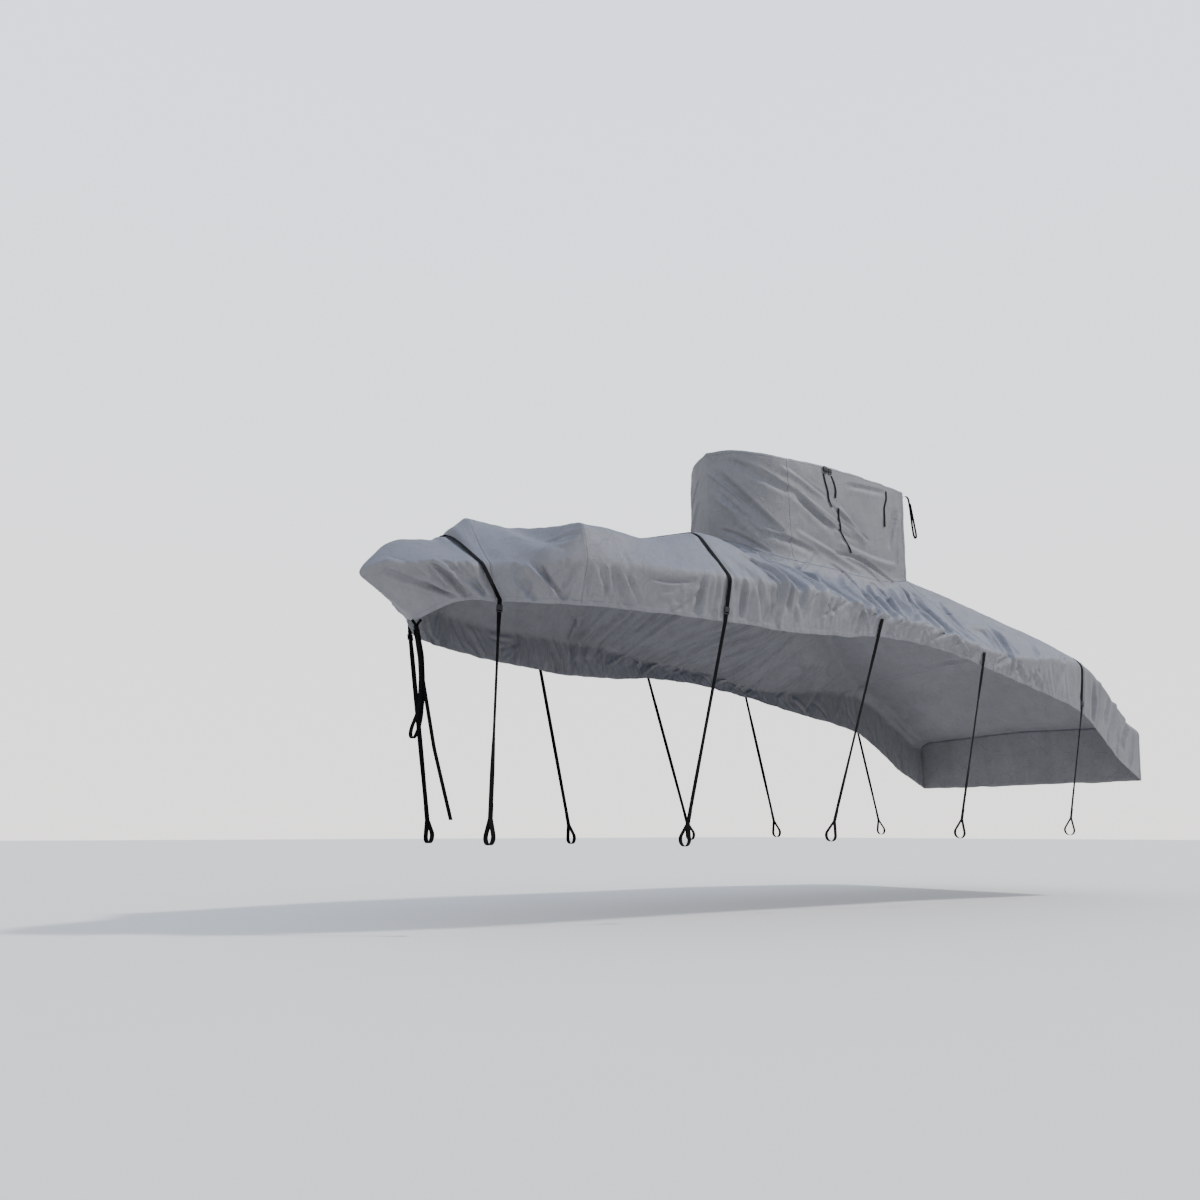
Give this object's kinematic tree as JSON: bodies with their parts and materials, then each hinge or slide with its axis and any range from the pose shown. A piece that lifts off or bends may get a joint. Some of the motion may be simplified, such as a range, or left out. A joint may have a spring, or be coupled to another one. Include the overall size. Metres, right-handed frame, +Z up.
{
  "type": "boat cover",
  "caption": "Fitted grey cover for a small open boat, with a tall boxed section over the helm, tie-down straps, buckles and hanging ties.",
  "frame": {"origin": "underside of the cloth at the top of the tall helm section, on the centre plane", "axes": "+X towards the stern, +Y to starboard, +Z up"},
  "size_m": [6.9054, 2.4882, 2.9472],
  "materials": {
    "canvas": "matt woven polyester canvas, weathered grey",
    "webbing": "black flat-woven webbing",
    "buckle": "black moulded plastic"
  },
  "bodies": {
    "root": {"bow_cap": "canvas", "fore_deck": "canvas", "mid_deck": "canvas", "side_port": "canvas", "side_starboard": "canvas", "tower_front": "canvas", "tower_port": "canvas", "tower_starboard": "canvas", "tower_top": "canvas", "tower_rear": "canvas", "aft_deck": "canvas", "stern_drop": "canvas", "transom": "canvas", "strap_bow": "webbing", "strap_mid": "webbing", "strap_stern": "webbing", "strap_fore_port": "webbing", "strap_fore_starboard": "webbing", "strap_aft_port": "webbing", "strap_aft_starboard": "webbing", "tie_long_port": "webbing", "tie_long_starboard": "webbing", "tie_short_port": "webbing", "tie_short_starboard": "webbing", "tie_rear_port": "webbing", "tie_rear_starboard": "webbing", "tie_wall_port": "webbing", "corner_loop_port": "webbing", "corner_loop_starboard": "webbing", "bow_knot": "webbing", "bow_loop": "webbing", "bow_line": "webbing", "buckle_bow_port": "buckle", "buckle_bow_starboard": "buckle", "buckle_mid_port": "buckle", "buckle_mid_starboard": "buckle", "buckle_stern_port": "buckle", "buckle_stern_starboard": "buckle", "buckle_tower_port": "buckle", "buckle_tower_starboard": "buckle"}
  },
  "joints": []
}
